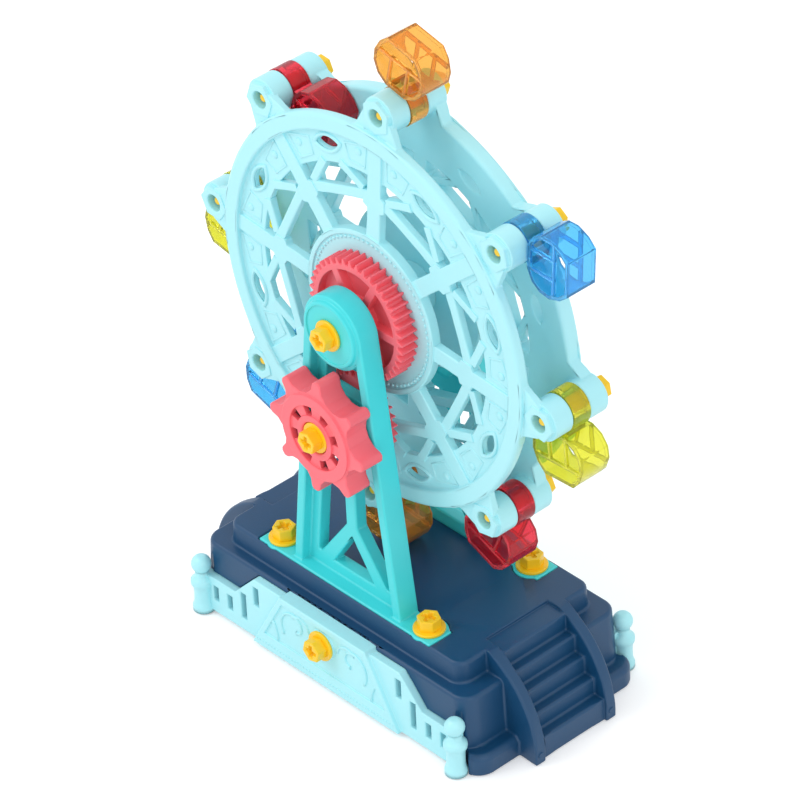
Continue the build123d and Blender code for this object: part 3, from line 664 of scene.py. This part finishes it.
RING_EDGE = 0.8 * MM
BEAD_EDGE, BEAD_FROM, BEAD_OUT = 2.0 * MM, 82.8 * MM, 92.0 * MM  # between these radii the edges are rounder
RING_FACES = {"front": (-15.1 * MM, -1), "rear": (20.2 * MM, 1)}  # outer face of the bead, way it faces
HUB_BEADS, HUB_BEAD_R, HUB_BEAD_SIZE = 76, 34.5 * MM, 0.85 * MM
DISC_STEP, BAND_STEP = 1.5 * MM, 2.6 * MM
EARS, EAR_ANGLE = 8, 130.1
EYE_R, EYE_HALF_LEN, EYE_HALF_W = 77.0 * MM, 8.5 * MM, 4.0 * MM  # along the middle of an eye's raised border
EYE_BORDER_W, EYE_BORDER_H = 2.0 * MM, 0.9 * MM
PANEL_CORNERS = ((26.0, 78.6), (11.9, 78.6), (11.9, 70.6), (20.9, 67.8))  # across a sector and out, in mm
PANEL_LINE_W, PANEL_LINE_H = 1.1 * MM, 0.45 * MM
STUD_PLACE, STUD_R, STUD_H = (19.6 * MM, 75.2 * MM), 1.9 * MM, 0.8 * MM


def bead_edge(spot):
    """The bead's own edges are rounder than the rest of a ring's."""
    return BEAD_EDGE if BEAD_FROM < math.hypot(spot.x, spot.z - WHEEL_Z) < BEAD_OUT else None


def eye_outline(steps=14):
    """Pointed oval: two arcs that meet at its ends."""
    radius = (EYE_HALF_LEN**2 + EYE_HALF_W**2) / (2 * EYE_HALF_W)
    half = math.asin(EYE_HALF_LEN / radius)
    upper = []
    for i in range(steps):
        angle = half - 2 * half * i / steps
        upper.append((radius * math.sin(angle), radius * math.cos(angle) - radius + EYE_HALF_W))
    return [(x, EYE_R + y) for x, y in upper] + [(-x, EYE_R - y) for x, y in upper]


def band_trims(side):
    """Raised borders round the eyes, and lined panels with a stud beside each spoke."""
    face, facing = RING_FACES[side]
    level = face - facing * BAND_STEP
    middle = math.radians(EAR_ANGLE + 180 / EARS)
    out, across = Vector((math.cos(middle), 0, math.sin(middle))), Vector((-math.sin(middle), 0, math.cos(middle)))

    def on_band(x, r, proud):
        return across * x + out * r + Vector((0, level + facing * proud, 0))

    work = bmesh.new()
    ridge(work, eye_outline(), EYE_BORDER_W, EYE_BORDER_H, on_band, closed=True)
    for half in (-1, 1):
        corners = [(x * half * MM, r * MM) for x, r in PANEL_CORNERS]
        ridge(work, corners, PANEL_LINE_W, PANEL_LINE_H, on_band, closed=True)
        stud = on_band(STUD_PLACE[0] * half, STUD_PLACE[1], 0)
        flat = Matrix.Translation(stud) @ Matrix.Diagonal((1, STUD_H / STUD_R, 1, 1))
        bmesh.ops.create_icosphere(work, subdivisions=3, radius=STUD_R, matrix=flat)
    piece = turned_copies(new_piece("band_trims_" + side, work), EARS, (0, 1, 0), (0, 0, WHEEL_Z), mint)
    return dressed(piece, mint, "mint", "wheel")


for side in ("front", "rear"):
    softened("ring_" + side, RING_EDGE, mint, "mint", steps=4, wider=bead_edge)
    band_trims(side)
softened("hub_spacer", 0.4 * MM, mint, "mint")


def hub_beads(side):
    """Row of small beads round the hub's disc."""
    face, facing = RING_FACES[side]
    work = bmesh.new()
    level = face - facing * DISC_STEP
    spot = Matrix.Translation((HUB_BEAD_R, level, 0)) @ Matrix.Diagonal((1, 0.9, 1, 1))
    bmesh.ops.create_icosphere(work, subdivisions=2, radius=HUB_BEAD_SIZE, matrix=spot)
    piece = new_piece("hub_beads_" + side, work)
    turned_copies(piece, HUB_BEADS, (0, 1, 0), (0, 0, WHEEL_Z), mint)
    return dressed(piece, mint, "mint", "wheel")


for side in ("front", "rear"):
    hub_beads(side)

# ---------------------------------------------------------------- gears
# The wheel's gear is locked to the front ring and meshes with the crank's small gear behind the
# front frame. Both are plain spur gears; the large one is coral and the small one belongs to the shaft.

CORAL = "#FF6A76"
GEAR_EDGE = 0.35 * MM

coral = moulded("coral plastic", CORAL, roughness=0.36, grain=0.1)
softened("drive_gear", GEAR_EDGE, coral, "coral", steps=2)
softened("pinion_shaft", GEAR_EDGE, coral, "turquoise", steps=2)

# ---------------------------------------------------------------- handwheel
# The crank: a coral cup with eight finger teeth, windows in its face and a screw in its hub.

HANDLE_EDGE = 1.2 * MM
HANDLE_SEAT = 47.6 * MM

softened("handwheel", HANDLE_EDGE, coral, "coral")
crank_pose = Matrix.Translation((0, -HANDLE_SEAT, CRANK_Z)) @ FACING_FRONT
screw_piece("crank_screw_head", "crank_screw", SCREW_LEN, crank_pose, 1, (0, 1, 0), (0, 0, 0))

# ---------------------------------------------------------------- cars
# Eight hollow cabins in clear tinted plastic, two of each colour, with windows at both faces. Each
# hangs by a sleeve on a screw that is driven from the rear hanger into the front one.

CAR_TINTS = {"red": "#F73E52", "orange": "#FFC058", "blue": "#62CCFF", "green": "#F3F04E"}
CLEAR_SHARE = 0.8  # of the light passes through, and the rest is scattered by the plastic
CAR_EDGE = 0.35 * MM
EAR_AXIS_R = 100.0 * MM
REAR_EAR_END = 18.7 * MM
CAR_SCREW_LEN, TIP_LEN, TIP_R = 30.2 * MM, 5.0 * MM, 1.8 * MM


def clear_tinted(name, code):
    """Clear tinted plastic with slight ripples from moulding."""
    material, tree = new_material(name)
    place = tree.node("ShaderNodeTexCoord", output=3)
    ripple = tree.node("ShaderNodeTexNoise", inputs={"Vector": place, "Scale": 160.0, "Detail": 1.0})
    bump = tree.node("ShaderNodeBump", inputs={"Strength": 0.12, "Distance": 0.0004, "Height": ripple})
    colour = linear(code)
    deep = tuple(c * 0.94 for c in colour[:3]) + (1.0,)
    plastic = tree.node(
        "ShaderNodeBsdfPrincipled",
        inputs={
            "Base Color": ripple.mixed(deep, colour),
            "Roughness": ripple * 0.06 + 0.04,
            "Normal": bump,
            "IOR": 1.35,
            "Transmission Weight": CLEAR_SHARE,
            "Specular IOR Level": 0.6,
        },
    )
    return finish_material(material, plastic)


tints = {tint: clear_tinted("clear " + tint + " plastic", code) for tint, code in CAR_TINTS.items()}
for k in range(EARS):
    tint = list(CAR_TINTS)[k % 4]
    softened(f"car_{k + 1}", CAR_EDGE, tints[tint], "clear_" + tint)

car_screw_pose = (
    Matrix.Rotation(-math.radians(EAR_ANGLE), 4, "Y")
    @ Matrix.Translation((EAR_AXIS_R, REAR_EAR_END, 0))
    @ Matrix.Rotation(-math.pi / 2, 4, "X")
)
screw_piece(
    "car_screw_heads", "car_screws", CAR_SCREW_LEN, car_screw_pose, EARS, (0, 1, 0), (0, 0, WHEEL_Z),
    flange=False, tip=TIP_LEN,
)

# ---------------------------------------------------------------- studio
# Plain pale floor, soft lamps and the camera where the photograph was taken from.

CAMERA_AZIMUTH, CAMERA_ELEVATION, CAMERA_ROLL = 48.64, 35.83, -2.88
CAMERA_DISTANCE, AIM_SIDE, AIM_Z = 2.19781, -0.00009, 0.12914
LENS = 231.69
SKY_LEVEL = 0.88
PAPER, PAPER_GLOW = (0.86, 0.87, 0.88, 1), 0.32  # the floor's colour, and what the camera sees on top of it
FLOOR_SIZE, FLOOR_Z = 6.0, -0.2 * MM


def seen_ray(tree):
    """1 where the camera sees a surface, straight or through gloss or clear plastic."""
    path = tree.node("ShaderNodeLightPath")
    outputs = path.socket.node.outputs
    seen = [Shade(tree.tree, outputs[name]) for name in ("Is Camera Ray", "Is Glossy Ray", "Is Transmission Ray")]
    total = seen[0] + seen[1] + seen[2]
    return total.math("MINIMUM", total, 1.0)


def studio():
    world = bpy.data.worlds.new("studio")
    bpy.context.scene.world = world
    world.use_nodes = True
    world.node_tree.nodes.clear()
    tree = Shade(world.node_tree)
    level = seen_ray(tree) * (1 - SKY_LEVEL) + SKY_LEVEL
    sky = tree.node("ShaderNodeBackground", inputs={"Color": (1, 1, 1, 1), "Strength": level})
    tree.node("ShaderNodeOutputWorld", inputs={"Surface": sky})

    material, tree = new_material("floor")
    paper = tree.node("ShaderNodeBsdfDiffuse", inputs={"Color": PAPER})
    glow = tree.node("ShaderNodeEmission", inputs={"Strength": seen_ray(tree) * PAPER_GLOW})
    both = tree.node("ShaderNodeAddShader", inputs={0: paper, 1: glow})
    finish_material(material, both)
    work = bmesh.new()
    bmesh.ops.create_grid(work, x_segments=1, y_segments=1, size=FLOOR_SIZE, matrix=Matrix.Translation((0, 0, FLOOR_Z)))
    floor = new_piece("floor", work)
    floor.data.materials.append(material)


def lamp(name, energy, size, place, target=(0, 0, 0.15)):
    light = bpy.data.lights.new(name, "AREA")
    light.energy, light.size = energy, size
    rig = bpy.data.objects.new(name, light)
    bpy.context.scene.collection.objects.link(rig)
    rig.location = place
    rig.rotation_euler = (Vector(target) - Vector(place)).to_track_quat("-Z", "Y").to_euler()


def camera():
    azimuth, elevation, roll = (math.radians(v) for v in (CAMERA_AZIMUTH, CAMERA_ELEVATION, CAMERA_ROLL))
    back = Vector((
        math.sin(azimuth) * math.cos(elevation),
        -math.cos(azimuth) * math.cos(elevation),
        math.sin(elevation),
    ))
    right = Vector((math.cos(azimuth), math.sin(azimuth), 0))
    up = back.cross(right)
    place = right * AIM_SIDE + Vector((0, 0, AIM_Z)) + back * CAMERA_DISTANCE
    turned_right = right * math.cos(roll) + up * math.sin(roll)
    turned_up = up * math.cos(roll) - right * math.sin(roll)
    data = bpy.data.cameras.new("camera")
    data.lens, data.sensor_width, data.clip_end = LENS, 36.0, 20.0
    view = bpy.data.objects.new("camera", data)
    bpy.context.scene.collection.objects.link(view)
    axes = Matrix((turned_right, turned_up, back)).transposed().to_4x4()
    view.matrix_world = Matrix.Translation(place) @ axes
    bpy.context.scene.camera = view


studio()
lamp("key", 13.0, 1.1, (-0.9, -1.3, 1.7))
lamp("fill", 7.0, 1.6, (1.9, -0.6, 1.2))
camera()
bpy.context.scene.view_settings.view_transform = "Standard"
